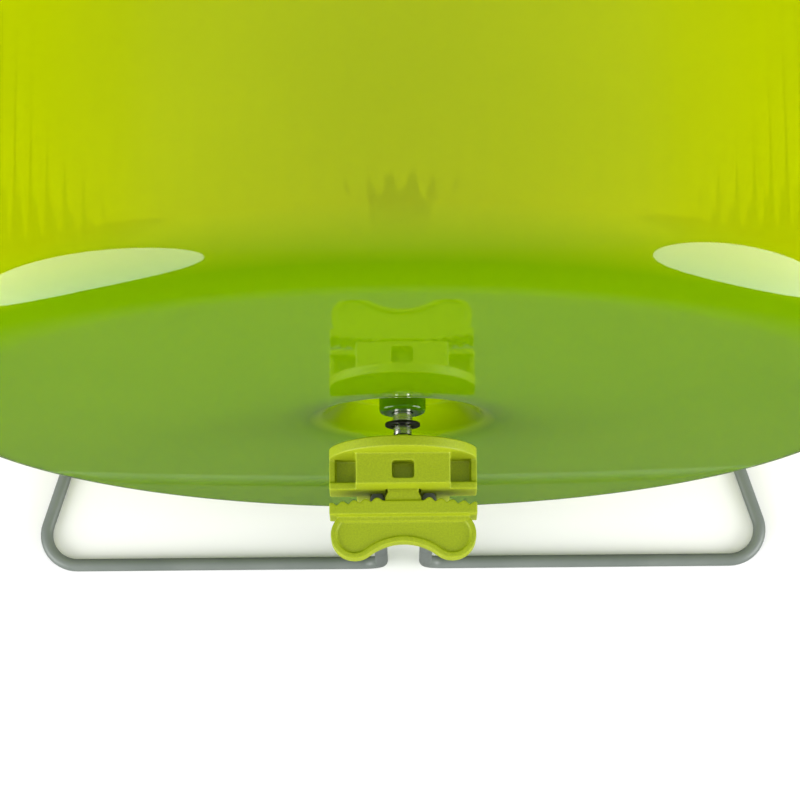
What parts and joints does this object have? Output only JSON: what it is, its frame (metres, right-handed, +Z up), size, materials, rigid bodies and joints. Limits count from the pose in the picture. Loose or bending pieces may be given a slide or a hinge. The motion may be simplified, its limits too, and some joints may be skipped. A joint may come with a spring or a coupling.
{
  "type": "rodent exercise wheel",
  "caption": "Closed-back translucent running wheel for small rodents, turning on ball bearings, with a wire floor stand and a sliding clamp for cage bars.",
  "frame": {"origin": "on the floor, under the middle of the whole object's bounding box", "axes": "+Z up, +Y towards the wheel's open front, -Y towards the clamp, +X to the right seen from behind"},
  "size_m": [0.28, 0.1284, 0.29],
  "materials": {
    "drum_plastic": "glossy translucent green injection-moulded plastic",
    "clamp_plastic": "opaque lime green moulded plastic with a fine matt grain",
    "coated_wire": "steel wire with a smooth grey-green plastic coating",
    "steel": "bright turned steel",
    "black_steel": "black oxide spring steel",
    "cage_plastic": "cream nylon"
  },
  "bodies": {
    "stand": {"rear_bearing_inner_ring": "steel", "front_bearing_inner_ring": "steel", "axle": "steel", "clamp_nut": "steel", "bearing_spacer": "steel", "front_washer": "steel", "front_lock_nut": "steel", "axle_clip": "black_steel", "clamp_body": "clamp_plastic", "stand_wire": "coated_wire"},
    "wheel": {"wheel_drum": "drum_plastic", "hub_cap": "drum_plastic", "rear_bearing_outer_ring": "steel", "rear_bearing_back_shield": "steel", "rear_bearing_front_shield": "steel", "front_bearing_outer_ring": "steel", "front_bearing_back_shield": "steel", "front_bearing_front_shield": "steel"},
    "rear_ball_set": {"rear_bearing_ball_1": "steel", "rear_bearing_ball_2": "steel", "rear_bearing_ball_3": "steel", "rear_bearing_ball_4": "steel", "rear_bearing_ball_5": "steel", "rear_bearing_ball_6": "steel", "rear_bearing_ball_7": "steel", "rear_bearing_ball_8": "steel", "rear_bearing_cage": "cage_plastic"},
    "front_ball_set": {"front_bearing_ball_1": "steel", "front_bearing_ball_2": "steel", "front_bearing_ball_3": "steel", "front_bearing_ball_4": "steel", "front_bearing_ball_5": "steel", "front_bearing_ball_6": "steel", "front_bearing_ball_7": "steel", "front_bearing_ball_8": "steel", "front_bearing_cage": "cage_plastic"},
    "outer_jaw": {"clamp_slider": "clamp_plastic"}
  },
  "joints": [
    {"name": "wheel_spin", "type": "hinge", "parent": "stand", "child": "wheel", "pos_m": [0, 0, 0.15], "axis": [0, 1, 0], "continuous": true},
    {"name": "rear_balls_roll", "type": "hinge", "parent": "stand", "child": "rear_ball_set", "pos_m": [0, -0.01975, 0.15], "axis": [0, 1, 0], "continuous": true},
    {"name": "front_balls_roll", "type": "hinge", "parent": "stand", "child": "front_ball_set", "pos_m": [0, 0.03135, 0.15], "axis": [0, 1, 0], "continuous": true},
    {"name": "jaw_slide", "type": "slide", "parent": "stand", "child": "outer_jaw", "axis": [0, -1, 0], "range_m": [0, 0.0055]}
  ],
  "couplings": [
    {"joint": "rear_balls_roll", "follows": "wheel_spin", "ratio": 0.59375},
    {"joint": "front_balls_roll", "follows": "wheel_spin", "ratio": 0.59375}
  ]
}
